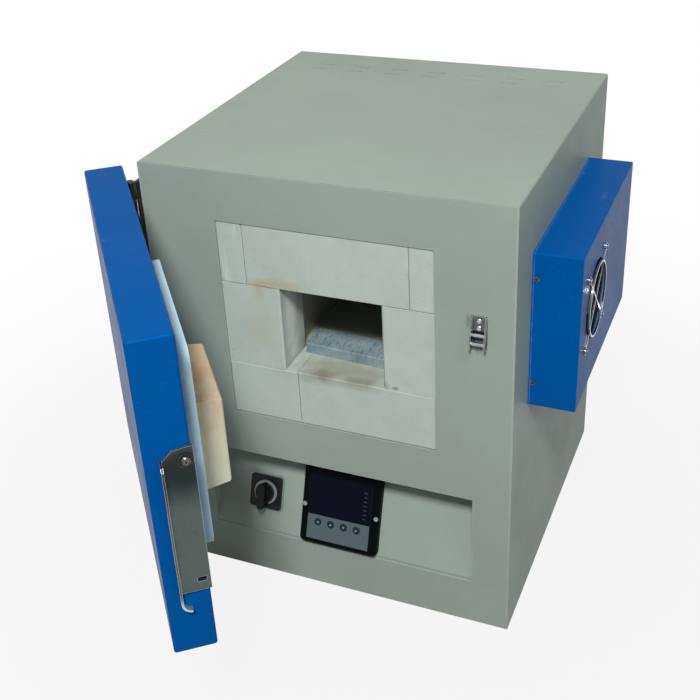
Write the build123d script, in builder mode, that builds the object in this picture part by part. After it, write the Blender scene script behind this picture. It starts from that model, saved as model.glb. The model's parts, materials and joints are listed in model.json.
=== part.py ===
from build123d import *
from math import cos, sin, tan, radians
import os

os.makedirs("parts", exist_ok=True)

# Bench-top muffle furnace, millimetres, +Z up. The front faces -Y. The origin lies on
# the floor below the middle of the case. Lengths called x, y and z below are measured
# from the case's front left bottom corner: x to the right, y to the back, z up.

# ---------------------------------------------------------------- driving dimensions
CASE_W = 405.0          # width of the sheet-metal case
CASE_D = 405.0          # depth of the case
CASE_H = 520.0          # height of the case
SHEET = 1.5             # case and door sheet
CORNER_R = 2.5          # folded corner radius

# Limits of flat shapes are always in the order x0, x1, z0, z1.
WINDOW = (84.6, CASE_W - 82.6, 228.2, CASE_H - 56.3)        # brick window in the front panel
BRICK_SET = 1.2                             # brick faces lie this far behind the panel's face
BRICK_BACK = 54.0                           # back of the front brick ring
BRICK_GAP = 0.5                             # joint between two bricks
LINTEL = (WINDOW[0] + 29.4, WINDOW[1] - 26.4)               # joints at the lintel's ends
FOOT_JOINT = WINDOW[0] + 81.4               # joint between the two bottom bricks
MOUTH = (WINDOW[0] + 67.1, WINDOW[1] - 56.8, WINDOW[2] + 65.8, WINDOW[3] - 70.7)

CHAMBER_STEP = 8.0      # chamber wider than its mouth, each side
CHAMBER_RISE = 8.0      # chamber roof above the mouth
CHAMBER_D = 230.0       # chamber depth behind the brick ring
WALL_T = 30.0           # refractory boards round the chamber

RECESS = (42.0, CASE_W - 42.0, 58.0, 173.0)                 # control recess
PANEL_TILT = 20.0                           # control panel leans back by this angle

CTRL = 96.0             # square controller bezel
CTRL_T = 8.0            # bezel thickness
CTRL_X = CASE_W / 2     # controller centre across the case
CTRL_S = 52.0           # controller centre up the tilted panel
SWITCH = 43.0           # square switch frame
SWITCH_X = 105.0        # switch centre across the case
SWITCH_S = 51.0         # switch centre up the tilted panel
KNOB_TURN = 270.0       # direction of the switch pointer as it rests

DOOR_OPEN = 51.2        # angle of the door as it rests, from closed
DOOR_GAP = 12.9         # closed door to the front panel
DOOR_W = CASE_W - 39.0
DOOR_T = 39.0
DOOR_Z0 = 199.5
DOOR_DROP = 0.8         # door's top edge below the case's
HINGE_X = -6.4          # hinge line, left of the case
HINGE_Y = -7.9          # hinge line, in front of the case
KNUCKLE_R = 4.5
PIN_R = 2.2
FIT = 0.06              # running fit on a radius
HINGE_H = 100.0
HINGE_INSET = (23.0, 20.0)                  # hinges from the door's bottom and top edges

LINER_INSET = (141.0, 39.6, 75.0, 40.2)     # liner inside the door: hinge, free, bottom, top side
LINER_RISE = 12.4       # liner above the door's inner face
LINER_R = 14.0          # its corner radius
PLUG_ROOM = (4.3, 1.2, 1.3, 1.0)            # plug's root inside the mouth: left, right, bottom, top
PLUG_TAPER = 6.0        # draft of the plug's four sides, degrees
PLUG_RISE = 41.5        # plug above the door's inner face

PIVOT_Y = -18.5         # latch pivot on the door edge, closed
PIVOT_DROP = 114.2      # latch pivot below the door's top edge
LEVER_T = 2.0
LEVER_GAP = 0.6         # lever off the door's edge

BOX = (56.0, CASE_D - 87.0, 269.5, CASE_H - 73.0)           # side box: y0, y1, z0, z1
BOX_OUT = 50.6          # side box stands out from the case
BOX_BASE = 2.0          # thickness of its base plate
BOX_SHEET = 1.2
FAN_Y = BOX[0] + 72.5   # fan centre
FAN_Z = (BOX[2] + BOX[3]) / 2 + 9.05
FAN_SIZE = 92.0
FAN_T = 25.0
FAN_HOLES = 82.5        # fan screw spacing
FAN_BORE = 44.0         # radius of the fan's opening

# ---------------------------------------------------------------- derived
X0 = -CASE_W / 2
Y0 = -CASE_D / 2
Z0 = 0.0
CH_X0 = MOUTH[0] - CHAMBER_STEP
CH_X1 = MOUTH[1] + CHAMBER_STEP
CH_Z0 = MOUTH[2]
CH_Z1 = MOUTH[3] + CHAMBER_RISE
CH_Y0 = BRICK_BACK
CH_Y1 = BRICK_BACK + CHAMBER_D
TILT = radians(PANEL_TILT)
SWING = radians(DOOR_OPEN)
DOOR_X0 = HINGE_X
DOOR_X1 = DOOR_X0 + DOOR_W
DOOR_Y0 = -DOOR_GAP
DOOR_Y1 = DOOR_Y0 - DOOR_T
DOOR_Z1 = CASE_H - DOOR_DROP
LINER = (
    DOOR_X0 + LINER_INSET[0],
    DOOR_X1 - LINER_INSET[1],
    DOOR_Z0 + LINER_INSET[2],
    DOOR_Z1 - LINER_INSET[3],
)
PLUG = (
    MOUTH[0] + PLUG_ROOM[0],
    MOUTH[1] - PLUG_ROOM[1],
    MOUTH[2] + PLUG_ROOM[2],
    MOUTH[3] - PLUG_ROOM[3],
)
BOX_X0 = CASE_W + BOX_BASE
BOX_X1 = CASE_W + BOX_OUT
LEVER_X = DOOR_X1 + LEVER_GAP
PIVOT_Z = DOOR_Z1 - PIVOT_DROP


# ---------------------------------------------------------------- planes and helpers
def front(y):
    """Upright plane at depth y that faces the front: sketch x is x, sketch y is z."""
    return Plane(origin=(X0, Y0 + y, Z0), x_dir=(1, 0, 0), z_dir=(0, -1, 0))


def level(z):
    """Level plane at height z: sketch x is x, sketch y is y."""
    return Plane(origin=(X0, Y0, Z0 + z), x_dir=(1, 0, 0), z_dir=(0, 0, 1))


def side(x):
    """Upright plane at x that faces right: sketch x is y, sketch y is z."""
    return Plane(origin=(X0 + x, Y0, Z0), x_dir=(0, 1, 0), z_dir=(1, 0, 0))


def panel(rise=0.0):
    """Tilted control panel plane: sketch x is x, sketch y runs up the panel."""
    base = Plane(origin=(X0, Y0, Z0 + RECESS[2]), x_dir=(1, 0, 0), z_dir=(0, -cos(TILT), sin(TILT)))
    return base.offset(rise)


def posed(x, y, z=0.0):
    """Row position of a point that is given for the closed door."""
    dx = x - HINGE_X
    dy = y - HINGE_Y
    px = HINGE_X + dx * cos(SWING) + dy * sin(SWING)
    py = HINGE_Y - dx * sin(SWING) + dy * cos(SWING)
    return (X0 + px, Y0 + py, Z0 + z)


ALONG = (cos(SWING), -sin(SWING), 0)
OUTWARD = (-sin(SWING), -cos(SWING), 0)
INWARD = (sin(SWING), cos(SWING), 0)


def door_front(y):
    """Plane of the door at closed depth y, normal out of the door's outer face."""
    return Plane(origin=posed(0, y), x_dir=ALONG, z_dir=OUTWARD)


def door_side(x):
    """Plane of the door's free edge at closed x: sketch x is closed y, sketch y is z."""
    return Plane(origin=posed(x, 0), x_dir=INWARD, z_dir=ALONG)


def door_level(z):
    """Level plane that turns with the door: sketch x and y are the closed x and y."""
    return Plane(origin=posed(0, 0, z), x_dir=ALONG, z_dir=(0, 0, 1))


def span(a0, a1, b0, b1, mode=Mode.ADD):
    """Sketch rectangle between two pairs of limits."""
    with Locations(((a0 + a1) / 2, (b0 + b1) / 2)):
        Rectangle(a1 - a0, b1 - b0, mode=mode)


def soft(a0, a1, b0, b1, radius, mode=Mode.ADD):
    """Sketch rectangle with round corners between two pairs of limits."""
    with Locations(((a0 + a1) / 2, (b0 + b1) / 2)):
        RectangleRounded(a1 - a0, b1 - b0, radius, mode=mode)


def block(x0, x1, y0, y1, z0, z1, mode=Mode.ADD):
    """Box between limits measured from the case corner."""
    with Locations((X0 + (x0 + x1) / 2, Y0 + (y0 + y1) / 2, Z0 + (z0 + z1) / 2)):
        Box(x1 - x0, y1 - y0, z1 - z0, mode=mode)


def save(piece, name):
    """Label a finished sub-part and write its file."""
    piece.part.label = name
    export_step(piece.part, f"parts/{name}.step")


# ================================================================ case
# Wrap: top and both sides folded from one sheet, slots in the top near the back.
VENT_COLUMNS = 7
VENT_PITCH = 49.0
VENT_SHIFT = 3.0                            # rear row of slots, to the right
VENT_ROWS = (CASE_D - 64.0, CASE_D - 46.0)
VENT_L = 22.0
VENT_W = 3.0
with BuildPart() as case_wrap:
    with BuildSketch(front(0)) as wrap_profile:
        span(0, CASE_W, 0, CASE_H)
        fillet(wrap_profile.vertices().group_by(Axis.Y)[-1], CORNER_R)
        span(SHEET, CASE_W - SHEET, 0, CASE_H - SHEET, mode=Mode.SUBTRACT)
    extrude(amount=-CASE_D)
    with BuildSketch(level(CASE_H)) as vents:
        for row, depth in enumerate(VENT_ROWS):
            with Locations((CASE_W / 2 + row * VENT_SHIFT, depth)):
                with GridLocations(VENT_PITCH, 0, VENT_COLUMNS, 1):
                    SlotOverall(VENT_L, VENT_W)
    extrude(amount=-2 * SHEET, mode=Mode.SUBTRACT)
    with BuildSketch(side(CASE_W)) as side_slot:
        with Locations((CASE_D - 19, CASE_H - 36)):
            SlotOverall(26, 4, rotation=90)
    extrude(amount=-2 * SHEET, mode=Mode.SUBTRACT)
save(case_wrap, "case_wrap")

# Front panel with the brick window and the control recess.
with BuildPart() as front_panel:
    with BuildSketch(front(0)):
        span(SHEET, CASE_W - SHEET, 0, CASE_H - SHEET)
        span(*WINDOW, mode=Mode.SUBTRACT)
        span(*RECESS, mode=Mode.SUBTRACT)
    extrude(amount=-SHEET)
save(front_panel, "front_panel")

# Back panel: two banks of slots and the hole for the mains inlet gland.
GLAND_X = CASE_W - 75.0
GLAND_Z = 60.0
GLAND_R = 8.0
BACK_SLOTS_Z = 141.0
with BuildPart() as back_panel:
    with BuildSketch(front(CASE_D - SHEET)):
        span(SHEET, CASE_W - SHEET, 0, CASE_H - SHEET)
        with Locations((CASE_W / 2, BACK_SLOTS_Z)):
            with GridLocations(150, 14, 2, 4):
                SlotOverall(90, 4, mode=Mode.SUBTRACT)
        with Locations((GLAND_X, GLAND_Z)):
            Circle(GLAND_R, mode=Mode.SUBTRACT)
    extrude(amount=-SHEET)
save(back_panel, "back_panel")

# Base pan with cooling slots below the electrics.
PAN_T = 2.0
with BuildPart() as base_pan:
    with BuildSketch(level(0)):
        span(SHEET, CASE_W - SHEET, SHEET, CASE_D - SHEET)
        with Locations((CASE_W / 2, CASE_D - 155)):
            with GridLocations(30, 0, 6, 1):
                SlotOverall(60, 5, rotation=90, mode=Mode.SUBTRACT)
    extrude(amount=PAN_T)
save(base_pan, "base_pan")

# Shelf between the hot upper part and the electrics below, with a hole for the wires.
SHELF_Z = 215.0
SHELF_T = 2.0
with BuildPart() as inner_shelf:
    with BuildSketch(level(SHELF_Z)):
        span(SHEET, CASE_W - SHEET, SHEET, CASE_D - SHEET)
        with Locations((CASE_W / 2, CASE_D - 30)):
            Rectangle(45, 30, mode=Mode.SUBTRACT)
    extrude(amount=SHELF_T)
save(inner_shelf, "inner_shelf")

# Control panel: one folded pocket with a tilted face, two cheeks and a roof. It lies
# flush with the front at its foot and runs back to its roof.
R_X0, R_X1, R_Z0, R_Z1 = RECESS
DEEP = (R_Z1 - R_Z0) * tan(TILT)
SHAFT_HOLE_R = 7.0
CTRL_HOLE = CTRL - 5.0                      # panel cut-out behind the bezel
CUT = 1.0               # cutters start this far outside a face
with BuildPart() as control_panel:
    with BuildSketch(side(R_X0 - SHEET)):
        Polygon(
            (SHEET, R_Z0 + (SHEET - SHEET / cos(TILT)) / tan(TILT)),
            (SHEET, R_Z1 + SHEET),
            ((R_Z1 + SHEET - R_Z0) * tan(TILT) + SHEET / cos(TILT), R_Z1 + SHEET),
            align=None,
        )
    extrude(amount=R_X1 - R_X0 + 2 * SHEET)
    with BuildSketch(side(R_X0)):
        Polygon(
            (SHEET - CUT, R_Z0 + (SHEET - CUT) / tan(TILT)),
            (SHEET - CUT, R_Z1),
            (DEEP, R_Z1),
            align=None,
        )
    extrude(amount=R_X1 - R_X0, mode=Mode.SUBTRACT)
    with BuildSketch(panel(CUT)):
        with Locations((CTRL_X, CTRL_S)):
            Rectangle(CTRL_HOLE, CTRL_HOLE)
        with Locations((SWITCH_X, SWITCH_S)):
            Circle(SHAFT_HOLE_R)
    extrude(amount=-SHEET - 2 * CUT, mode=Mode.SUBTRACT)
save(control_panel, "control_panel")

# ================================================================ front bricks
W_X0, W_X1, W_Z0, W_Z1 = WINDOW
TRIM = 0.4              # brick ring inside the panel window
BX0 = W_X0 + TRIM
BX1 = W_X1 - TRIM
BZ0 = W_Z0 + TRIM
BZ1 = W_Z1 - TRIM
HALF = BRICK_GAP / 2
ARRIS = 0.8             # softened edges of a brick's face
WORN = 1.8              # worn edges beside the mouth
bricks = {
    "brick_top_left": (BX0, LINTEL[0] - HALF, MOUTH[3] + HALF, BZ1),
    "brick_lintel": (LINTEL[0] + HALF, LINTEL[1] - HALF, MOUTH[3] + HALF, BZ1),
    "brick_top_right": (LINTEL[1] + HALF, BX1, MOUTH[3] + HALF, BZ1),
    "brick_left": (BX0, MOUTH[0], MOUTH[2] + HALF, MOUTH[3] - HALF),
    "brick_right": (MOUTH[1], BX1, MOUTH[2] + HALF, MOUTH[3] - HALF),
    "brick_bottom_left": (BX0, FOOT_JOINT - HALF, BZ0, MOUTH[2] - HALF),
    "brick_bottom_right": (FOOT_JOINT + HALF, BX1, BZ0, MOUTH[2] - HALF),
}
jambs = {"brick_left": -1, "brick_right": 0}        # which upright edge lies beside the mouth
for brick_name, limits in bricks.items():
    with BuildPart() as brick:
        with BuildSketch(front(BRICK_SET)):
            span(*limits)
        extrude(amount=-(BRICK_BACK - BRICK_SET))
        face_edges = brick.faces().sort_by(Axis.Y)[0].edges()
        if brick_name in jambs:
            worn_edge = face_edges.filter_by(Axis.Z).sort_by(Axis.X)[jambs[brick_name]]
            chamfer(worn_edge, WORN)
        else:
            chamfer(face_edges, ARRIS)
    save(brick, brick_name)

# ================================================================ chamber
BOARD_X0 = CH_X0 - WALL_T
BOARD_X1 = CH_X1 + WALL_T
with BuildPart() as muffle_floor:
    block(BOARD_X0, BOARD_X1, CH_Y0, CH_Y1, CH_Z0 - WALL_T, CH_Z0)
save(muffle_floor, "muffle_floor")

with BuildPart() as muffle_roof:
    block(BOARD_X0, BOARD_X1, CH_Y0, CH_Y1, CH_Z1, CH_Z1 + WALL_T)
save(muffle_roof, "muffle_roof")

# Side boards: smooth towards the chamber. A pocket in the outer side holds the element,
# and a rib keeps its two passes apart.
POCKET = 8.0
POCKET_RIM = 10.0       # wall left round the pocket, above, below and in front
RIB = 8.0
PASSES = 2
WIRE_R = 2.6
PASS_PITCH = (CH_Z1 - CH_Z0 - 2 * POCKET_RIM) / PASSES
PASS_Z = [CH_Z0 + POCKET_RIM + PASS_PITCH * (n + 0.5) for n in range(PASSES)]
TURN_R = PASS_PITCH / 2 - 0.5
RIB_BACK = TURN_R + 3 * WIRE_R              # rib ends clear of the element's turn
for board_name, inner_x, sign in (("muffle_left", CH_X0, -1), ("muffle_right", CH_X1, 1)):
    outer_x = inner_x + sign * WALL_T
    floor_x = outer_x - sign * POCKET
    low_x = min(outer_x, floor_x)
    high_x = max(outer_x, floor_x)
    with BuildPart() as board:
        block(min(inner_x, outer_x), max(inner_x, outer_x), CH_Y0, CH_Y1, CH_Z0, CH_Z1)
        block(
            low_x,
            high_x,
            CH_Y0 + POCKET_RIM,
            CH_Y1,
            CH_Z0 + POCKET_RIM,
            CH_Z1 - POCKET_RIM,
            mode=Mode.SUBTRACT,
        )
        for n in range(PASSES - 1):
            rib_z = (PASS_Z[n] + PASS_Z[n + 1]) / 2
            rib_y0 = CH_Y0 + POCKET_RIM + RIB_BACK
            block(low_x, high_x, rib_y0, CH_Y1, rib_z - RIB / 2, rib_z + RIB / 2)
    save(board, board_name)

# Back board with holes for the element leads and the thermocouple.
PROBE_X = (MOUTH[0] + MOUTH[1]) / 2
PROBE_Z = CH_Z1 - 14
PROBE_R = 4.0
HOLE_FIT = 0.4          # holes in the boards, wider than what passes through
LEAD_XS = (BOARD_X0 + POCKET / 2, BOARD_X1 - POCKET / 2)
LEAD_ZS = (PASS_Z[0], PASS_Z[-1])


def lead_holes(mode):
    """Sketch circles round the thermocouple and the four element leads."""
    with Locations((PROBE_X, PROBE_Z)):
        Circle(PROBE_R + HOLE_FIT, mode=mode)
    with Locations(*[(x, z) for x in LEAD_XS for z in LEAD_ZS]):
        Circle(WIRE_R + HOLE_FIT, mode=mode)


with BuildPart() as muffle_back:
    with BuildSketch(front(CH_Y1)):
        span(BOARD_X0, BOARD_X1, CH_Z0 - WALL_T, CH_Z1 + WALL_T)
        lead_holes(Mode.SUBTRACT)
    extrude(amount=-WALL_T)
save(muffle_back, "muffle_back")

# Elements: one round wire per side, forward and back in its pocket, both leads out behind.
LEAD_END = CASE_D - 13.0
WIRE_NEAR = CH_Y0 + POCKET_RIM + 2 * WIRE_R
with BuildPart() as elements:
    for wire_x in LEAD_XS:
        with BuildLine(side(wire_x)) as run:
            FilletPolyline(
                (LEAD_END, PASS_Z[0]),
                (WIRE_NEAR, PASS_Z[0]),
                (WIRE_NEAR, PASS_Z[1]),
                (LEAD_END, PASS_Z[1]),
                radius=TURN_R,
            )
        with BuildSketch(Plane(origin=run.line @ 0, z_dir=run.line % 0)) as wire_section:
            Circle(WIRE_R)
        sweep(sections=wire_section.sketch, path=run.line)
save(elements, "elements")

# Loose ceramic tile on the chamber floor, just inside the mouth and not quite square to it.
TILE_PLAY = 8.9                             # how much narrower than the mouth it is
TILE_SHIFT = 1.65                           # it lies a little to the right of the mouth's middle
TILE = (MOUTH[1] - MOUTH[0] - TILE_PLAY, 36.0, 12.0)        # width, depth, thickness
TILE_AT = ((MOUTH[0] + MOUTH[1]) / 2 + TILE_SHIFT, 58.0)    # its middle
TILE_TURN = -3.7
with BuildPart() as hearth_plate:
    with BuildSketch(level(CH_Z0)):
        with Locations(Location(TILE_AT, TILE_TURN)):
            RectangleRounded(TILE[0], TILE[1], 2.5)
    extrude(amount=TILE[2])
    chamfer(hearth_plate.faces().sort_by(Axis.Z)[-1].edges(), 1.0)
save(hearth_plate, "hearth_plate")

# Thermocouple: ceramic tube through the back, terminal head between pack and panel.
PROBE_REACH = 24.0      # tube into the chamber
HEAD = (28.0, 8.0, 18.0)
HEAD_Y1 = CASE_D - SHEET - 1.5
with BuildPart() as thermocouple:
    with BuildSketch(front(CH_Y1 - PROBE_REACH)):
        with Locations((PROBE_X, PROBE_Z)):
            Circle(PROBE_R)
    extrude(amount=-(HEAD_Y1 - HEAD[1] - CH_Y1 + PROBE_REACH))
    chamfer(thermocouple.edges().sort_by(Axis.Y)[0], 1.5)
    with BuildSketch(front(HEAD_Y1 - HEAD[1])):
        with Locations((PROBE_X, PROBE_Z)):
            Rectangle(HEAD[0], HEAD[2])
    extrude(amount=-HEAD[1])
save(thermocouple, "thermocouple")

# Insulation pack: fills the upper case round bricks and boards.
PACK_SIDE = 18.5        # pack to the case sheet, left, right and top
PACK_BACK = 11.5        # pack to the back panel, room for the terminals
BRICK_FIT = 0.3
with BuildPart() as insulation_pack:
    block(
        SHEET + PACK_SIDE,
        CASE_W - SHEET - PACK_SIDE,
        2 * SHEET,
        CASE_D - SHEET - PACK_BACK,
        SHELF_Z + SHELF_T,
        CASE_H - SHEET - PACK_SIDE,
    )
    block(
        BX0 - BRICK_FIT,
        BX1 + BRICK_FIT,
        0,
        BRICK_BACK,
        BZ0 - BRICK_FIT,
        BZ1 + BRICK_FIT,
        mode=Mode.SUBTRACT,
    )
    block(
        BOARD_X0,
        BOARD_X1,
        BRICK_BACK,
        CH_Y1 + WALL_T,
        CH_Z0 - WALL_T,
        CH_Z1 + WALL_T,
        mode=Mode.SUBTRACT,
    )
    with BuildSketch(front(CH_Y1)):
        lead_holes(Mode.ADD)
    extrude(amount=-(CASE_D - CH_Y1), mode=Mode.SUBTRACT)
save(insulation_pack, "insulation_pack")

# ================================================================ controls
INSET = 1.2             # window and label lie in a pocket this deep
PLATE_T = 1.0
PLATE_FIT = 0.2         # window and label inside their pocket
WIN_X0 = CTRL_X - 40.0
WIN_X1 = CTRL_X + 37.0
LABEL_S = (9.0, 39.0)
SCREEN_S = (39.0, 93.0)
BUTTON_X1 = CTRL_X - 26.9                   # first of four buttons in a row
BUTTON_PITCH = 16.1
BUTTON_XS = [BUTTON_X1 + BUTTON_PITCH * n for n in range(4)]
BUTTON_S = 30.5
BUTTON_R = 4.2
BUTTON_WELL = 3.0
BUTTON_PROUD = 0.8
BUTTON_TRAVEL = 0.5
CLEAR = 0.35            # clearance round a moving button

with BuildPart() as controller_bezel:
    with BuildSketch(panel()):
        with Locations((CTRL_X, CTRL_S)):
            RectangleRounded(CTRL, CTRL, 6)
    extrude(amount=CTRL_T)
    chamfer(controller_bezel.faces().sort_by(Axis.Y)[0].edges(), 0.8)
    with BuildSketch(panel(CTRL_T)):
        span(WIN_X0, WIN_X1, LABEL_S[0], SCREEN_S[1])
    extrude(amount=-INSET, mode=Mode.SUBTRACT)
    with BuildSketch(panel(CTRL_T - INSET)):
        for x in BUTTON_XS:
            with Locations((x, BUTTON_S)):
                Circle(BUTTON_R + CLEAR)
    extrude(amount=-BUTTON_WELL, mode=Mode.SUBTRACT)
save(controller_bezel, "controller_bezel")

with BuildPart() as controller_screen:
    with BuildSketch(panel(CTRL_T - INSET)):
        span(
            WIN_X0 + PLATE_FIT,
            WIN_X1 - PLATE_FIT,
            SCREEN_S[0] + PLATE_FIT,
            SCREEN_S[1] - PLATE_FIT,
        )
    extrude(amount=PLATE_T)
save(controller_screen, "controller_screen")

with BuildPart() as controller_label:
    with BuildSketch(panel(CTRL_T - INSET)):
        span(
            WIN_X0 + PLATE_FIT,
            WIN_X1 - PLATE_FIT,
            LABEL_S[0] + PLATE_FIT,
            LABEL_S[1] - PLATE_FIT,
        )
        for x in BUTTON_XS:
            with Locations((x, BUTTON_S)):
                Circle(BUTTON_R + CLEAR, mode=Mode.SUBTRACT)
    extrude(amount=PLATE_T)
save(controller_label, "controller_label")

BUTTON_FOOT = CTRL_T - INSET - BUTTON_WELL + BUTTON_TRAVEL + CLEAR
BUTTON_TALL = CTRL_T - INSET + PLATE_T + BUTTON_PROUD - BUTTON_FOOT
for n, x in enumerate(BUTTON_XS):
    with BuildPart() as button:
        with BuildSketch(panel(BUTTON_FOOT)):
            with Locations((x, BUTTON_S)):
                Circle(BUTTON_R)
        extrude(amount=BUTTON_TALL)
        chamfer(button.edges().sort_by(Axis.Y)[0], 0.4)
    save(button, f"button_{n + 1}")

# Two cross-slotted screws on the bezel's left and right rims.
TRIM_SCREWS = ((CTRL_X - 44.3, CTRL_S - 2), (CTRL_X + 44.3, CTRL_S - 2))
TRIM_HEAD = 1.3
with BuildPart() as controller_screws:
    with BuildSketch(panel(CTRL_T)):
        with Locations(*TRIM_SCREWS):
            Circle(2.6)
    extrude(amount=TRIM_HEAD)
    with BuildSketch(panel(CTRL_T + TRIM_HEAD)):
        with Locations(*TRIM_SCREWS):
            Rectangle(3.4, 0.7, rotation=35)
            Rectangle(0.7, 3.4, rotation=35)
    extrude(amount=-0.8, mode=Mode.SUBTRACT)
save(controller_screws, "controller_screws")

with BuildPart() as controller_housing:
    with BuildSketch(panel()):
        with Locations((CTRL_X, CTRL_S)):
            Rectangle(CTRL_HOLE - 1, CTRL_HOLE - 1)
    extrude(amount=-68)
save(controller_housing, "controller_housing")

# Rotary switch: bright frame, dark plate, round dial and a pointer knob.
FRAME_T = 2.0
DARK_T = 2.6
DIAL_T = 1.2
DIAL_R = 14.5
DIAL_FIT = 0.05         # dark plate round the dial
KNOB_GAP = 0.4
KNOB_R = 11.5
KNOB_FOOT = FRAME_T + DARK_T + DIAL_T + KNOB_GAP
SHAFT_R = 3.0
SHAFT_END = 1.0         # knob's shaft ends this far above the panel
with BuildPart() as switch_frame:
    with BuildSketch(panel()):
        with Locations((SWITCH_X, SWITCH_S)):
            RectangleRounded(SWITCH, SWITCH, 4)
    extrude(amount=FRAME_T)
    with BuildSketch(panel(FRAME_T)):
        with Locations((SWITCH_X, SWITCH_S)):
            Circle(DIAL_R)
    extrude(amount=DARK_T + DIAL_T)
    with BuildSketch(panel()):
        with Locations((SWITCH_X, SWITCH_S)):
            Circle(SHAFT_R + FIT)
    extrude(amount=FRAME_T + DARK_T + DIAL_T, mode=Mode.SUBTRACT)
save(switch_frame, "switch_frame")

with BuildPart() as switch_plate:
    with BuildSketch(panel(FRAME_T)):
        with Locations((SWITCH_X, SWITCH_S)):
            RectangleRounded(SWITCH - 3, SWITCH - 3, 3)
            Circle(DIAL_R + DIAL_FIT, mode=Mode.SUBTRACT)
    extrude(amount=DARK_T)
save(switch_plate, "switch_plate")

with BuildPart() as switch_knob:
    with BuildSketch(panel(KNOB_FOOT)):
        with Locations((SWITCH_X, SWITCH_S)):
            Circle(KNOB_R)
    extrude(amount=3.5)
    with BuildSketch(panel(KNOB_FOOT)):
        with Locations(Location((SWITCH_X, SWITCH_S), KNOB_TURN)):
            with Locations((3.0, 0)):
                SlotOverall(31, 9)
    extrude(amount=14)
    chamfer(switch_knob.faces().filter_by(panel()).sort_by(Axis.Y)[0].edges(), 1.2)
    with BuildSketch(panel(KNOB_FOOT)):
        with Locations((SWITCH_X, SWITCH_S)):
            Circle(SHAFT_R)
    extrude(amount=-(KNOB_FOOT - SHAFT_END))
save(switch_knob, "switch_knob")

with BuildPart() as switch_body:
    with BuildSketch(panel(-SHEET - 0.1)):
        with Locations((SWITCH_X, SWITCH_S)):
            RectangleRounded(36, 36, 3)
    extrude(amount=-44)
save(switch_body, "switch_body")

# ================================================================ keeper on the front panel
# A foot plate with two cheeks, and two cross pins for the latch to hook on.
KEEPER = (CASE_W - 44.5, CASE_W - 28.0, PIVOT_Z - 39.0, PIVOT_Z - 5.0)
K_X0, K_X1, K_Z0, K_Z1 = KEEPER
K_MID = (K_X0 + K_X1) / 2
KEEPER_OUT = 9.0
KEEPER_FOOT = 1.2       # thickness of the foot plate
CHEEK_T = 1.5
with BuildPart() as keeper:
    with BuildSketch(front(0)):
        span(*KEEPER)
    extrude(amount=KEEPER_FOOT)
    for x in (K_X0, K_X1 - CHEEK_T):
        with BuildSketch(side(x)):
            Polygon(
                (0, K_Z1),
                (-2.2, K_Z1),
                (-KEEPER_OUT, K_Z0 + 9),
                (-KEEPER_OUT, K_Z0),
                (0, K_Z0),
                align=None,
            )
        extrude(amount=CHEEK_T)
save(keeper, "keeper")

with BuildPart() as keeper_pins:
    with BuildSketch(side(K_X0 + CHEEK_T)):
        with Locations((-6.2, K_Z0 + 5.5), (-4.4, K_Z0 + 14.5)):
            Circle(1.9)
    extrude(amount=K_X1 - K_X0 - 2 * CHEEK_T)
save(keeper_pins, "keeper_pins")

with BuildPart() as keeper_screws:
    with BuildSketch(front(-KEEPER_FOOT)):
        with Locations((K_MID, K_Z1 - 5), (K_MID, K_Z1 - 13)):
            Circle(2.7)
    extrude(amount=1.2)
    chamfer(keeper_screws.edges().group_by(Axis.Y)[0], 0.5)
save(keeper_screws, "keeper_screws")

# ================================================================ hinges
# Butt hinges: five knuckles each, three on the case leaf and two on the door leaf.
# Each leaf is cut back where the other leaf's knuckles turn.
KNUCKLES = 5
SLIT = 0.4
LEAF_T = 3.0
LEAF_END = 32.0         # case leaf reaches this far back
DOOR_LEAF_T = 2.5
DOOR_LEAF_END = 26.0
RELIEF = 3.4            # case leaf starts this far behind the hinge line
DOOR_RELIEF = 4.1       # door leaf starts this far beside it
HEAD_RISE = 0.6         # pin heads above and below the knuckles
HINGE_FEET = (DOOR_Z1 - HINGE_INSET[1] - HINGE_H, DOOR_Z0 + HINGE_INSET[0])
KNUCKLE_H = HINGE_H / KNUCKLES
with BuildPart() as hinge_case_leaves:
    for foot in HINGE_FEET:
        with BuildSketch(level(foot)):
            span(-LEAF_T, 0, HINGE_Y + RELIEF, LEAF_END)
        extrude(amount=HINGE_H)
        for n in range(0, KNUCKLES, 2):
            slit = SLIT if n else 0
            with BuildSketch(level(foot + n * KNUCKLE_H + slit)):
                with Locations((HINGE_X, HINGE_Y)):
                    Circle(KNUCKLE_R)
                span(-LEAF_T, 0, HINGE_Y, HINGE_Y + RELIEF + 1)
            extrude(amount=KNUCKLE_H - slit)
        with BuildSketch(level(foot)):
            with Locations((HINGE_X, HINGE_Y)):
                Circle(PIN_R + FIT)
        extrude(amount=HINGE_H, mode=Mode.SUBTRACT)
save(hinge_case_leaves, "hinge_case_leaves")

with BuildPart() as hinge_door_leaves:
    for foot in HINGE_FEET:
        with BuildSketch(door_level(foot)):
            span(HINGE_X + DOOR_RELIEF, DOOR_LEAF_END, DOOR_Y0, DOOR_Y0 + DOOR_LEAF_T)
        extrude(amount=HINGE_H)
        for n in range(1, KNUCKLES, 2):
            with BuildSketch(door_level(foot + n * KNUCKLE_H + SLIT)):
                with Locations((HINGE_X, HINGE_Y)):
                    Circle(KNUCKLE_R)
                span(HINGE_X, HINGE_X + DOOR_RELIEF + 1, DOOR_Y0, DOOR_Y0 + DOOR_LEAF_T)
            extrude(amount=KNUCKLE_H - SLIT)
        with BuildSketch(door_level(foot)):
            with Locations((HINGE_X, HINGE_Y)):
                Circle(PIN_R + FIT)
        extrude(amount=HINGE_H, mode=Mode.SUBTRACT)
save(hinge_door_leaves, "hinge_door_leaves")

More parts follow.
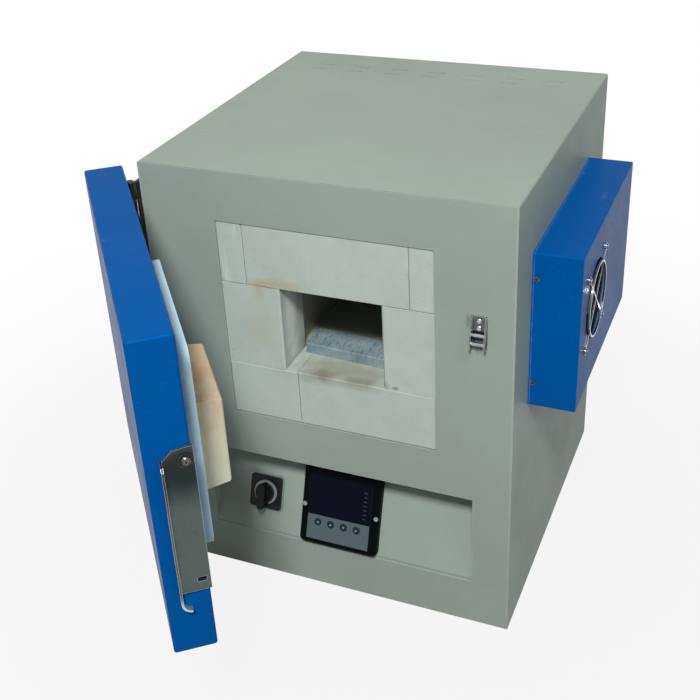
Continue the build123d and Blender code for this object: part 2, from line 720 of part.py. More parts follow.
with BuildPart() as hinge_pins:
    for foot in HINGE_FEET:
        with BuildSketch(level(foot)):
            with Locations((HINGE_X, HINGE_Y)):
                Circle(PIN_R)
        extrude(amount=HINGE_H)
        for z, rise in ((foot + HINGE_H, HEAD_RISE), (foot, -HEAD_RISE)):
            with BuildSketch(level(z)):
                with Locations((HINGE_X, HINGE_Y)):
                    Circle(KNUCKLE_R - 0.6)
            extrude(amount=rise)
save(hinge_pins, "hinge_pins")

HINGE_SCREWS = (12.0, 50.0, 88.0)           # heights in the case leaf
with BuildPart() as hinge_screws:
    with BuildSketch(side(-LEAF_T)):
        for foot in HINGE_FEET:
            for rise in HINGE_SCREWS:
                with Locations((LEAF_END - 12, foot + rise)):
                    Circle(3.2)
    extrude(amount=-1.2)
    chamfer(hinge_screws.edges().group_by(Axis.X)[0], 0.6)
save(hinge_screws, "hinge_screws")

# ================================================================ door
HINGE_RETURN = 34.0     # folded return round the door's inner side, hinge side
LIP = 16.0              # and on its other three sides
with BuildPart() as door_shell:
    with BuildSketch(door_front(DOOR_Y0)):
        span(DOOR_X0, DOOR_X1, DOOR_Z0, DOOR_Z1)
    extrude(amount=DOOR_T)
    fillet(door_shell.edges(), CORNER_R)
    with BuildSketch(door_front(DOOR_Y0 - SHEET)):
        span(DOOR_X0 + SHEET, DOOR_X1 - SHEET, DOOR_Z0 + SHEET, DOOR_Z1 - SHEET)
    extrude(amount=DOOR_T - 2 * SHEET, mode=Mode.SUBTRACT)
    with BuildSketch(door_front(DOOR_Y0 + CUT)):
        span(DOOR_X0 + HINGE_RETURN, DOOR_X1 - LIP, DOOR_Z0 + LIP, DOOR_Z1 - LIP)
    extrude(amount=SHEET + 2 * CUT, mode=Mode.SUBTRACT)
save(door_shell, "door_shell")

# Parts inside the door have a hole for the plug and stay clear of the shell's sides.
PLUG_GAP = 0.4
PLUG_HOLE = (PLUG[0] - PLUG_GAP, PLUG[1] + PLUG_GAP, PLUG[2] - PLUG_GAP, PLUG[3] + PLUG_GAP)
BACK_Y = DOOR_Y0 - SHEET
BACK_T = 1.2
BACK_CLEAR = SHEET + 0.5
with BuildPart() as door_back_plate:
    with BuildSketch(door_front(BACK_Y)):
        span(
            DOOR_X0 + BACK_CLEAR,
            DOOR_X1 - BACK_CLEAR,
            DOOR_Z0 + BACK_CLEAR,
            DOOR_Z1 - BACK_CLEAR,
        )
        span(*PLUG_HOLE, mode=Mode.SUBTRACT)
    extrude(amount=BACK_T)
save(door_back_plate, "door_back_plate")

RIM = 2.0
PAD_FIT = 0.2
PAD_DROP = 1.0          # fibre pad below the liner's rim


def liner_outline(inset, mode=Mode.ADD):
    """Sketch the liner's outline, smaller by the inset on every side."""
    x0, x1, z0, z1 = LINER
    soft(x0 + inset, x1 - inset, z0 + inset, z1 - inset, LINER_R - inset, mode=mode)


with BuildPart() as door_liner:
    with BuildSketch(door_front(DOOR_Y0 + LINER_RISE)):
        liner_outline(0)
        liner_outline(RIM, Mode.SUBTRACT)
    extrude(amount=LINER_RISE + SHEET)
save(door_liner, "door_liner")

with BuildPart() as door_fibre_pad:
    with BuildSketch(door_front(DOOR_Y0 + LINER_RISE - PAD_DROP)):
        liner_outline(RIM + PAD_FIT)
        span(*PLUG_HOLE, mode=Mode.SUBTRACT)
    extrude(amount=LINER_RISE - PAD_DROP + SHEET)
save(door_fibre_pad, "door_fibre_pad")

# Plug: straight through the pad, then tapered to its worn tip.
PLUG_ROOT = DOOR_Y1 + 8
PLUG_BREAK = DOOR_Y0 + LINER_RISE - PAD_DROP
with BuildPart() as door_plug:
    with BuildSketch(door_front(PLUG_BREAK)):
        span(*PLUG)
    extrude(amount=PLUG_BREAK - PLUG_ROOT)
    with BuildSketch(door_front(PLUG_BREAK)):
        span(*PLUG)
    extrude(amount=-(DOOR_Y0 + PLUG_RISE - PLUG_BREAK), taper=PLUG_TAPER)
    tip = door_plug.faces().sort_by(Axis((0, 0, 0), INWARD))[-1]
    fillet(tip.edges(), 3.0)
save(door_plug, "door_plug")

FILL_CLEAR = BACK_CLEAR + 1.0
with BuildPart() as door_insulation:
    with BuildSketch(door_front(BACK_Y - BACK_T)):
        span(
            DOOR_X0 + FILL_CLEAR,
            DOOR_X1 - FILL_CLEAR,
            DOOR_Z0 + FILL_CLEAR,
            DOOR_Z1 - FILL_CLEAR,
        )
        span(*PLUG_HOLE, mode=Mode.SUBTRACT)
    extrude(amount=DOOR_T - 2 * SHEET - BACK_T - 1)
save(door_insulation, "door_insulation")

# ================================================================ latch lever
WASHER_R = 6.4
WASHER_T = 0.9
BOLT_R = 3.0
BOLT_HEAD_R = 4.2
BOLT_HEAD_T = 3.4
LEVER_SLACK = 0.3       # lever between its collar and its washer
LEVER_TOP = LEVER_X + LEVER_T + LEVER_SLACK
with BuildPart() as lever_bolt:
    with BuildSketch(door_side(DOOR_X1)):
        with Locations((PIVOT_Y, PIVOT_Z)):
            Circle(WASHER_R)
    extrude(amount=LEVER_GAP - LEVER_SLACK)
    with BuildSketch(door_side(DOOR_X1)):
        with Locations((PIVOT_Y, PIVOT_Z)):
            Circle(BOLT_R)
    extrude(amount=LEVER_GAP + LEVER_T + 2 * LEVER_SLACK)
    with BuildSketch(door_side(LEVER_TOP)):
        with Locations((PIVOT_Y, PIVOT_Z)):
            Circle(BOLT_HEAD_R)
    extrude(amount=BOLT_HEAD_T)
    far_face = lever_bolt.faces().sort_by(Axis((0, 0, 0), ALONG))[-1]
    chamfer(far_face.edges(), 0.9)
    with BuildSketch(door_side(LEVER_TOP + BOLT_HEAD_T)):
        with Locations((PIVOT_Y, PIVOT_Z)):
            RegularPolygon(1.7, 6)
    extrude(amount=-2, mode=Mode.SUBTRACT)
save(lever_bolt, "lever_bolt")

with BuildPart() as lever_washer:
    with BuildSketch(door_side(LEVER_TOP)):
        with Locations((PIVOT_Y, PIVOT_Z)):
            Circle(WASHER_R)
            Circle(BOLT_HEAD_R + FIT, mode=Mode.SUBTRACT)
    extrude(amount=WASHER_T)
save(lever_washer, "lever_washer")

# Lever: flat web, folded outer flange with a step, and a curled finger tab.
WEB_Y0 = DOOR_Y0 - 24.6
WEB_Y1 = DOOR_Y0 + 1.6
WEB_Z0 = PIVOT_Z - 137.0
WEB_Z1 = PIVOT_Z + 2.0
NOSE_Z = PIVOT_Z + 13.0
FLANGE_WIDE = 13.0
FLANGE_NARROW = 6.0
FLANGE_Z0 = WEB_Z0 - 6.0
STEP_Z = (PIVOT_Z - 41.0, PIVOT_Z - 47.0)
FOLD_Y = WEB_Y0 - LEVER_T / 2               # middle of the flange's sheet
with BuildPart() as latch_lever:
    with BuildSketch(door_side(LEVER_X)):
        Polygon(
            (WEB_Y1, NOSE_Z),
            (DOOR_Y0 - 16, NOSE_Z - 2.5),
            (WEB_Y0, WEB_Z1),
            (WEB_Y0, WEB_Z0),
            (WEB_Y1, WEB_Z0),
            align=None,
        )
        with Locations((PIVOT_Y, PIVOT_Z)):
            Circle(BOLT_R + FIT, mode=Mode.SUBTRACT)
        with Locations((DOOR_Y0 - 5.8, WEB_Z0 + 12)):
            Rectangle(8, 4.6, mode=Mode.SUBTRACT)
    extrude(amount=LEVER_T)
    with BuildSketch(door_front(WEB_Y0)):
        Polygon(
            (LEVER_X, WEB_Z1),
            (LEVER_X + FLANGE_WIDE - 3, WEB_Z1),
            (LEVER_X + FLANGE_WIDE, WEB_Z1 - 3),
            (LEVER_X + FLANGE_WIDE, STEP_Z[0]),
            (LEVER_X + FLANGE_NARROW, STEP_Z[1]),
            (LEVER_X + FLANGE_NARROW, FLANGE_Z0),
            (LEVER_X, FLANGE_Z0),
            align=None,
        )
    extrude(amount=LEVER_T)
    with BuildSketch(door_side(LEVER_X)):
        with BuildLine():
            curl_in = Line((FOLD_Y, WEB_Z0), (FOLD_Y, FLANGE_Z0 - 3))
            TangentArc(curl_in @ 1, (WEB_Y0 + 7, FLANGE_Z0 - 12), tangent=curl_in % 1)
        trace(line_width=LEVER_T)
    extrude(amount=FLANGE_NARROW)
save(latch_lever, "latch_lever")

# ================================================================ side box with fan
B_Y0, B_Y1, B_Z0, B_Z1 = BOX
COVER_FIT = 0.2         # cover round the base's rim
BASE_RIM = 13.0         # height of the base's rim
BASE_RIM_T = 1.2
BOX_R = 1.5             # folded edges of the cover


def box_outline(inset, mode=Mode.ADD):
    """Sketch the side box's outline, smaller by the inset on every side."""
    span(B_Y0 + inset, B_Y1 - inset, B_Z0 + inset, B_Z1 - inset, mode=mode)


with BuildPart() as side_box_base:
    with BuildSketch(side(CASE_W)):
        box_outline(0)
    extrude(amount=BOX_BASE)
    with BuildSketch(side(BOX_X0)):
        box_outline(BOX_SHEET + COVER_FIT)
        box_outline(BOX_SHEET + COVER_FIT + BASE_RIM_T, Mode.SUBTRACT)
    extrude(amount=BASE_RIM)
save(side_box_base, "side_box_base")

# Cover: a drawn box with the fan opening, and a bank of slots in its rear side.
COVER_T = BOX_X1 - BOX_X0
with BuildPart() as side_box_cover:
    with BuildSketch(side(BOX_X0)):
        box_outline(0)
    extrude(amount=COVER_T)
    fillet(side_box_cover.edges().filter_by(Axis.X), BOX_R)
    fillet(side_box_cover.faces().sort_by(Axis.X)[-1].edges(), BOX_R)
    with BuildSketch(side(BOX_X0)):
        box_outline(BOX_SHEET)
    extrude(amount=COVER_T - BOX_SHEET, mode=Mode.SUBTRACT)
    with BuildSketch(side(BOX_X1)):
        with Locations((FAN_Y, FAN_Z)):
            Circle(FAN_BORE - 0.5)
    extrude(amount=-2 * BOX_SHEET, mode=Mode.SUBTRACT)
    with BuildSketch(front(B_Y1 - BOX_SHEET - CUT)):
        with Locations((BOX_X0 + 28, (B_Z0 + B_Z1) / 2)):
            with GridLocations(0, 18, 1, 5):
                SlotOverall(26, 4)
    extrude(amount=-BOX_SHEET - 2 * CUT, mode=Mode.SUBTRACT)
save(side_box_cover, "side_box_cover")

FAN_X1 = BOX_X1 - BOX_SHEET
FAN_X0 = FAN_X1 - FAN_T
HUB_R = 18.0
STRUT_T = 4.0
STRUT_W = 5.0
STRUT_TURN = 20.0
with BuildPart() as fan_frame:
    with BuildSketch(side(FAN_X0)):
        with Locations((FAN_Y, FAN_Z)):
            RectangleRounded(FAN_SIZE, FAN_SIZE, 5)
            Circle(FAN_BORE, mode=Mode.SUBTRACT)
    extrude(amount=FAN_T)
    with BuildSketch(side(FAN_X0)):
        with Locations((FAN_Y, FAN_Z)):
            Circle(HUB_R + 1)
            for turn in (STRUT_TURN, STRUT_TURN + 90):
                Rectangle(2 * FAN_BORE + 1, STRUT_W, rotation=turn)
            Circle(SHAFT_R + FIT, mode=Mode.SUBTRACT)
    extrude(amount=STRUT_T)
save(fan_frame, "fan_frame")

BLADES = 7
BLADE_TURN = 38.0
BLADE_CHORD = 16.0
BLADE_T = 1.6
TIP_CLEAR = 1.8         # blade tips inside the bore
BLADE_L = FAN_BORE - TIP_CLEAR - HUB_R + 1
ROTOR_X0 = FAN_X0 + STRUT_T + 1
ROTOR_T = 17.0
with BuildPart() as fan_rotor:
    with BuildSketch(side(ROTOR_X0)):
        with Locations((FAN_Y, FAN_Z)):
            Circle(HUB_R)
    extrude(amount=ROTOR_T)
    chamfer(fan_rotor.edges().sort_by(Axis.X)[-1], 1.5)
    with BuildSketch(side(ROTOR_X0)):
        with Locations((FAN_Y, FAN_Z)):
            Circle(SHAFT_R)
    extrude(amount=-STRUT_T - 0.5)
    hub = Location((X0 + ROTOR_X0 + ROTOR_T / 2, Y0 + FAN_Y, Z0 + FAN_Z))
    with Locations(hub):
        for n in range(BLADES):
            with Locations(Rotation(360 / BLADES * n, 0, 0)):
                with Locations(Location((0, 0, HUB_R - 1 + BLADE_L / 2), (0, 0, BLADE_TURN))):
                    Box(BLADE_CHORD, BLADE_T, BLADE_L)
save(fan_rotor, "fan_rotor")

# Wire guard: rings welded on two crossed bars, with a screw ear at each bar's end.
RINGS = (10.0, 20.0, 30.0, 40.0)
WIRE = 2.0
EAR_R = 4.2
EAR_T = 1.4
SCREW_R = 2.9
SCREW_T = 1.6
with BuildPart() as fan_guard:
    with BuildSketch(side(BOX_X1 + EAR_T)):
        with Locations((FAN_Y, FAN_Z)):
            for radius in RINGS:
                Circle(radius + WIRE / 2)
                Circle(radius - WIRE / 2, mode=Mode.SUBTRACT)
    extrude(amount=WIRE)
    with BuildSketch(side(BOX_X1)):
        with Locations((FAN_Y, FAN_Z)):
            for turn in (45, 135):
                Rectangle(FAN_HOLES * 2 ** 0.5, WIRE, rotation=turn)
            with GridLocations(FAN_HOLES, FAN_HOLES, 2, 2):
                Circle(EAR_R)
    extrude(amount=EAR_T)
save(fan_guard, "fan_guard")

# Pan-head screws of the cover and of the fan.
COVER_SCREWS = ((CASE_W + 5.2, B_Z1 - 28.3), (CASE_W + 5.2, B_Z0 + 28.6))
with BuildPart() as side_box_screws:
    for face_y, rise in ((B_Y0, SCREW_T), (B_Y1, -SCREW_T)):
        with BuildSketch(front(face_y)):
            with Locations(*COVER_SCREWS):
                Circle(2.6)
        extrude(amount=rise)
    with BuildSketch(side(BOX_X1 + EAR_T)):
        with Locations((FAN_Y, FAN_Z)):
            with GridLocations(FAN_HOLES, FAN_HOLES, 2, 2):
                Circle(SCREW_R)
    extrude(amount=SCREW_T)
save(side_box_screws, "side_box_screws")

# Relay heat sink inside the side box, behind the fan.
FINS = 8
FIN_T = 2.0
FIN_H = 23.0
SINK_PLATE = 6.0
SINK_Y0 = FAN_Y + FAN_SIZE / 2 + 37.5
SINK_Y1 = B_Y1 - 18
FIN_PITCH = (SINK_Y1 - SINK_Y0 - FIN_T) / (FINS - 1)
with BuildPart() as heat_sink:
    with BuildSketch(level(B_Z0 + 30)):
        span(BOX_X0, BOX_X0 + SINK_PLATE, SINK_Y0, SINK_Y1)
        with Locations((BOX_X0 + SINK_PLATE + FIN_H / 2 - 0.5, (SINK_Y0 + SINK_Y1) / 2)):
            with GridLocations(0, FIN_PITCH, 1, FINS):
                Rectangle(FIN_H + 1, FIN_T)
    extrude(amount=B_Z1 - B_Z0 - 67)
save(heat_sink, "heat_sink")

# ================================================================ mains inlet gland
CORD_R = 4.5            # hole for the mains cord
NUT_T = 5.0
CAP_T = 9.0
THREAD_R = GLAND_R - 0.2
THREAD_L = 8.0
with BuildPart() as inlet_gland:
    with BuildSketch(front(CASE_D)):
        with Locations((GLAND_X, GLAND_Z)):
            RegularPolygon(12, 6)
    extrude(amount=-NUT_T)
    with BuildSketch(front(CASE_D + NUT_T)):
        with Locations((GLAND_X, GLAND_Z)):
            Circle(10.5)
    extrude(amount=-CAP_T, taper=6)
    with BuildSketch(front(CASE_D)):
        with Locations((GLAND_X, GLAND_Z)):
            Circle(THREAD_R)
    extrude(amount=THREAD_L)
    with BuildSketch(front(CASE_D - SHEET - 0.1)):
        with Locations((GLAND_X, GLAND_Z)):
            RegularPolygon(11.5, 6)
    extrude(amount=4)
    with BuildSketch(front(CASE_D + NUT_T + CAP_T + CUT)):
        with Locations((GLAND_X, GLAND_Z)):
            Circle(CORD_R)
    extrude(amount=NUT_T + CAP_T + THREAD_L + 2 * CUT, mode=Mode.SUBTRACT)
save(inlet_gland, "inlet_gland")
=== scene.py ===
import json
import math

import bpy
from mathutils import Matrix, Vector


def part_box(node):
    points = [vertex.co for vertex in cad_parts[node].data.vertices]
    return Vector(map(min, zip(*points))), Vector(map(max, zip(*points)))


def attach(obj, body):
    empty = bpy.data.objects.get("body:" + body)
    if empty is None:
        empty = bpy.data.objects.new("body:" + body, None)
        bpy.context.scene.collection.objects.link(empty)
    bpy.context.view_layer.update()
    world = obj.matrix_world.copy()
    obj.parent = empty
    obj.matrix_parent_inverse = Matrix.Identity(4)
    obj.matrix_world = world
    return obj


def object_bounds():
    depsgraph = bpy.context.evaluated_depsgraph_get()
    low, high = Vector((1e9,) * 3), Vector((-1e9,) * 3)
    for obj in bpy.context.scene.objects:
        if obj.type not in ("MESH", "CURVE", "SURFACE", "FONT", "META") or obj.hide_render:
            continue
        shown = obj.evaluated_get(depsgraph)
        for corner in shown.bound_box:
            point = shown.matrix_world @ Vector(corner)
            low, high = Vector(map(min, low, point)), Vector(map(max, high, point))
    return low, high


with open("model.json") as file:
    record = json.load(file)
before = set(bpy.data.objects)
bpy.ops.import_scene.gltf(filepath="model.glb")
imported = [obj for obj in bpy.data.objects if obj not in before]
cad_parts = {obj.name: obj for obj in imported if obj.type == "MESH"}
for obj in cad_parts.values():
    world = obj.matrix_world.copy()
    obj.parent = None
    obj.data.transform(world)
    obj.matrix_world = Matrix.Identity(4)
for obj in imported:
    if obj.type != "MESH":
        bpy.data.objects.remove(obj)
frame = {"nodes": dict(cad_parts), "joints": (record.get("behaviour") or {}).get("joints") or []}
cad_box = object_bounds()

NODES = frame["nodes"]
WHITE = (1.0, 1.0, 1.0, 1.0)


# ---------------------------------------------------------------- the frame's own directions
def joint(name):
    """The record's entry for one joint."""
    return next(j for j in frame["joints"] if j["name"] == name)


def corners(node):
    """Lowest and highest corner of a node at rest."""
    return tuple(Vector(v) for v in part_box(node))


ALONG = -Vector(joint("lever_pivot")["axis"])           # along the door, away from its hinge
INWARD = Vector((-ALONG.y, ALONG.x, 0.0))               # out of the door's inner face
PANEL_OUT = Vector(joint("switch_turn")["axis"])        # out of the tilted control panel
PANEL_UP = Vector((0.0, PANEL_OUT.z, -PANEL_OUT.y))     # up along the control panel
ACROSS = Vector((1.0, 0.0, 0.0))                        # to the right along the front
CASE_CORNER = corners("case_wrap")[0]                   # the case's front left bottom corner


def at(x, y, z):
    """Row position of a point given in millimetres from the case's front left bottom corner."""
    return (CASE_CORNER.x + x / 1000, CASE_CORNER.y + y / 1000, CASE_CORNER.z + z / 1000)


# ---------------------------------------------------------------- shader helpers
def rgb(red, green, blue):
    """Linear colour of an sRGB colour given from 0 to 255."""
    def linear(v):
        v = v / 255
        return v / 12.92 if v <= 0.04045 else ((v + 0.055) / 1.055) ** 2.4
    return (linear(red), linear(green), linear(blue), 1.0)


def paler(colour, share):
    """A colour moved towards white."""
    return tuple(c + (1.0 - c) * share for c in colour[:3]) + (1.0,)


def darker(colour, share):
    """A colour moved towards black."""
    return tuple(c * (1.0 - share) for c in colour[:3]) + (1.0,)


EDGE_SAMPLES = 8
EDGE_BEND = (0.01, 0.18)        # 1 - cosine of the rounded normal's lean: a paler edge (wear, on bricks and keeper also painted highlight) begins, is full
PATCH_CORE = 0.15               # share of a patch's radius that is covered in full


class Shader:
    """A material under construction: short calls for the nodes that every material here uses."""

    def __init__(self, name, rough=0.5, metal=0.0, specular=0.5):
        self.mat = bpy.data.materials.new(name)
        self.mat.use_nodes = True
        self.tree = self.mat.node_tree
        self.out = self.tree.nodes["Principled BSDF"]
        self.out.inputs["Roughness"].default_value = rough
        self.out.inputs["Metallic"].default_value = metal
        self.out.inputs["Specular IOR Level"].default_value = specular
        self.where = self.tree.nodes.new("ShaderNodeTexCoord").outputs["Object"]

    def node(self, kind, **settings):
        made = self.tree.nodes.new(kind)
        for key, value in settings.items():
            setattr(made, key, value)
        return made

    def link(self, source, target):
        self.tree.links.new(source, target)

    def put(self, target, value):
        """Links a socket or sets a constant."""
        if isinstance(value, bpy.types.NodeSocket):
            self.link(value, target)
        else:
            target.default_value = value

    def math(self, operation, a, b=0.0):
        """Result of one operation on two values or sockets."""
        made = self.node("ShaderNodeMath", operation=operation)
        self.put(made.inputs[0], a)
        self.put(made.inputs[1], b)
        return made.outputs[0]

    def both(self, a, b):
        """Product of two masks, or of a mask and a share."""
        return self.math("MULTIPLY", a, b)

    def stretch(self, scale):
        """Coordinates scaled differently along x, y and z."""
        made = self.node("ShaderNodeMapping")
        made.inputs["Scale"].default_value = scale
        self.link(self.where, made.inputs["Vector"])
        return made.outputs[0]

    def noise(self, scale, detail=4.0, rough=0.55, where=None):
        """Cloudy noise from 0 to 1; a scale of 100 gives marks about a centimetre wide."""
        made = self.node("ShaderNodeTexNoise")
        made.inputs["Scale"].default_value = scale
        made.inputs["Detail"].default_value = detail
        made.inputs["Roughness"].default_value = rough
        self.link(where or self.where, made.inputs["Vector"])
        return made.outputs["Fac"]

    def cells(self, scale):
        """Distance to the nearest of many scattered points."""
        made = self.node("ShaderNodeTexVoronoi")
        made.inputs["Scale"].default_value = scale
        self.link(self.where, made.inputs["Vector"])
        return made.outputs["Distance"]

    def ramp(self, value, low, high, start=0.0, end=1.0):
        """Maps low..high to start..end, clamped and smooth."""
        made = self.node("ShaderNodeMapRange", interpolation_type="SMOOTHSTEP")
        self.put(made.inputs["Value"], value)
        made.inputs["From Min"].default_value = low
        made.inputs["From Max"].default_value = high
        made.inputs["To Min"].default_value = start
        made.inputs["To Max"].default_value = end
        return made.outputs["Result"]

    def mix(self, factor, a, b):
        """Colour a, turning into colour b where the factor is 1."""
        made = self.node("ShaderNodeMix", data_type="RGBA")
        self.put(made.inputs["Factor"], factor)
        self.put(made.inputs["A"], a)
        self.put(made.inputs["B"], b)
        return made.outputs["Result"]

    def vector_math(self, operation, a, b, output="Vector"):
        made = self.node("ShaderNodeVectorMath", operation=operation)
        self.put(made.inputs[0], a)
        self.put(made.inputs[1], b)
        return made.outputs[output]

    def along(self, direction, origin=(0, 0, 0)):
        """Distance of the surface point from origin, along a direction."""
        offset = self.vector_math("SUBTRACT", self.where, origin)
        return self.vector_math("DOT_PRODUCT", offset, tuple(direction), "Value")

    def patch(self, centre, radii, ragged=0.35, scale=40.0):
        """Soft mask, 1 at a place and 0 beyond an ellipsoid round it, with a ragged edge."""
        offset = self.vector_math("SUBTRACT", self.where, centre)
        share = self.vector_math("DIVIDE", offset, radii)
        size = self.node("ShaderNodeVectorMath", operation="LENGTH")
        self.link(share, size.inputs[0])
        edge = self.both(self.noise(scale, detail=5.0), ragged * 2)
        reach = self.math("ADD", size.outputs["Value"], self.math("SUBTRACT", edge, ragged))
        return self.ramp(reach, PATCH_CORE, 1.0, 1.0, 0.0)

    def edge(self, radius, gain=1.0):
        """Mask of the folds and corners of the piece, as wide as the radius."""
        bevel = self.node("ShaderNodeBevel", samples=EDGE_SAMPLES)
        bevel.inputs["Radius"].default_value = radius
        shape = self.node("ShaderNodeNewGeometry")
        turn = self.vector_math("DOT_PRODUCT", bevel.outputs[0], shape.outputs["Normal"], "Value")
        return self.both(self.ramp(self.math("SUBTRACT", 1.0, turn), *EDGE_BEND), gain)

    def bump(self, height, strength, distance, normal=None):
        """Small relief, as deep as the distance, on top of an earlier normal if there is one."""
        made = self.node("ShaderNodeBump")
        made.inputs["Strength"].default_value = strength
        made.inputs["Distance"].default_value = distance
        self.link(height, made.inputs["Height"])
        if normal is not None:
            self.link(normal, made.inputs["Normal"])
        return made.outputs["Normal"]

    def lay_marks(self, tint, marks, ragged=0.35, scale=40.0):
        """Lays marks, each a centre, radii, depth and colour, over a tint: stains, and painted
        shadows, shade and highlights.
        """
        for centre, radii, depth, mark_colour in marks:
            mark = self.both(self.patch(centre, radii, ragged, scale), depth)
            tint = self.mix(mark, tint, mark_colour)
        return tint

    def finish(self, colour, rough, normal):
        """Links the finished colour, roughness and normal, and returns the material."""
        self.put(self.out.inputs["Base Color"], colour)
        self.put(self.out.inputs["Roughness"], rough)
        self.link(normal, self.out.inputs["Normal"])
        return self.mat


# ---------------------------------------------------------------- materials
def powder_coat(name, colour, rough, peel, marks=(), worn=0.35, specular=0.2):
    """Powder coat: orange-peel bump, cloudy gloss, faint dust and scratches, pale worn folds."""
    look = Shader(name, rough, specular=specular)
    cloud = look.ramp(look.noise(scale=5.0, detail=5.0, rough=0.6), 0.35, 0.7)
    tint = look.mix(cloud, colour, darker(colour, 0.08))
    dust = look.ramp(look.noise(scale=420.0, detail=3.0, rough=0.7), 0.62, 0.8)
    tint = look.mix(look.both(dust, 0.10), tint, paler(colour, 0.35))
    scratch = look.noise(scale=60.0, detail=2.0, rough=0.5, where=look.stretch((1.0, 1.0, 18.0)))
    tint = look.mix(look.both(look.ramp(scratch, 0.70, 0.76), 0.07), tint, paler(colour, 0.4))
    tint = look.lay_marks(tint, marks)
    uneven = look.ramp(look.noise(scale=90.0, detail=4.0), 0.3, 0.6, 0.3, 1.0)
    rubbed = look.both(look.edge(radius=0.0012, gain=worn), uneven)
    tint = look.mix(rubbed, tint, paler(colour, 0.45))
    haze = look.noise(scale=14.0, detail=6.0, rough=0.65)
    gloss = look.ramp(haze, 0.3, 0.7, rough * 0.9, rough * 1.12)
    orange_peel = look.noise(scale=1500.0, detail=2.0, rough=0.5)
    normal = look.bump(orange_peel, strength=peel, distance=0.0006)
    waves = look.noise(scale=9.0, detail=2.0, rough=0.4)
    normal = look.bump(waves, strength=0.08, distance=0.004, normal=normal)
    return look.finish(tint, gloss, normal)


def brick(name, colour, marks=(), pores=1.0, streaks=0.0, edge_wear_and_highlight=0.6):
    """Insulating firebrick: chalky, with open pores, fine grit, scorch stains, and paler worn edges
    that are also a painted highlight along the edges.
    """
    look = Shader(name, 0.92, specular=0.15)
    cloud = look.noise(scale=22.0, detail=6.0, rough=0.65)
    tint = look.mix(look.ramp(cloud, 0.3, 0.72), colour, darker(colour, 0.09))
    grit = look.noise(scale=900.0, detail=4.0, rough=0.7)
    tint = look.mix(look.ramp(grit, 0.55, 0.8, 0.0, 0.22), tint, paler(colour, 0.3))
    sparse = look.ramp(look.noise(scale=75.0, detail=3.0, rough=0.6), 0.52, 0.68)
    pore = look.ramp(look.cells(scale=430.0), 0.10, 0.30, 1.0, 0.0)
    hole = look.both(look.both(pore, sparse), pores)
    tint = look.mix(look.both(hole, 0.4), tint, darker(colour, 0.6))
    lines = look.noise(scale=130.0, detail=5.0, rough=0.6, where=look.stretch((1.0, 1.0, 0.07)))
    tint = look.mix(look.both(look.ramp(lines, 0.52, 0.66), streaks), tint, paler(colour, 0.42))
    tint = look.lay_marks(tint, marks, ragged=0.5, scale=55.0)
    # paler broken edges: wear, and also a painted highlight along every edge
    crumbs = look.ramp(look.noise(scale=160.0, detail=5.0), 0.42, 0.6, 0.15, 1.0)
    crumbled_and_highlit = look.both(look.edge(radius=0.0016, gain=edge_wear_and_highlight), crumbs)
    tint = look.mix(crumbled_and_highlit, tint, paler(colour, 0.35))
    hollow = look.math("ADD", hole, look.both(crumbled_and_highlit, 0.6))
    height = look.math("SUBTRACT", look.both(grit, 0.5), hollow)
    normal = look.bump(height, strength=0.55, distance=0.0009)
    lumps = look.noise(scale=60.0, detail=5.0, rough=0.6)
    normal = look.bump(lumps, strength=0.25, distance=0.002, normal=normal)
    return look.finish(tint, look.ramp(cloud, 0.2, 0.8, 0.86, 0.98), normal)


def fibre(name, colour):
    """Pressed ceramic fibre: soft white felt with short tangled strands, yellowed in places."""
    look = Shader(name, 0.95, specular=0.15)
    strands = look.noise(scale=260.0, detail=6.0, rough=0.7, where=look.stretch((1.0, 2.6, 1.0)))
    tint = look.mix(look.ramp(strands, 0.35, 0.7), colour, darker(colour, 0.15))
    yellowed = look.ramp(look.noise(scale=14.0, detail=4.0), 0.55, 0.8, 0.0, 0.5)
    tint = look.mix(yellowed, tint, rgb(196, 184, 160))
    normal = look.bump(strands, strength=0.7, distance=0.0014)
    return look.finish(tint, look.ramp(strands, 0.3, 0.8, 0.9, 1.0), normal)


def metal(
    name, colour, rough, brush=(1.0, 1.0, 1.0), depth=0.15, scale=220.0,
    tarnish_and_dark_reflection=0.3, marks=(), bright=0.4,
):
    """Bare metal: brushing along one direction, cloudy darkening, marks and pale polished edges; on
    the keeper the dark clouding is also painted dark reflection and the pale edges painted glints.
    """
    look = Shader(name, rough, metal=1.0)
    lines = look.noise(scale, detail=5.0, rough=0.6, where=look.stretch(brush))
    tint = look.mix(look.ramp(lines, 0.3, 0.7), colour, darker(colour, 0.2))
    cloud = look.noise(scale=35.0, detail=5.0, rough=0.6)
    # cloudy darkening: a tarnished look, on the keeper also painted dark reflection
    tint = look.mix(look.ramp(cloud, 0.5, 0.8, 0.0, tarnish_and_dark_reflection), tint, darker(colour, 0.55))
    tint = look.lay_marks(tint, marks, ragged=0.2, scale=30.0)
    # pale polished edges, on the keeper also painted glints
    tint = look.mix(look.edge(radius=0.0008, gain=bright), tint, paler(colour, 0.7))
    gloss = look.ramp(cloud, 0.3, 0.75, rough * 0.75, min(1.0, rough * 1.6))
    gloss = look.math("ADD", gloss, look.ramp(lines, 0.3, 0.7, 0.0, depth * 0.4))
    return look.finish(tint, gloss, look.bump(lines, strength=depth, distance=0.0004))


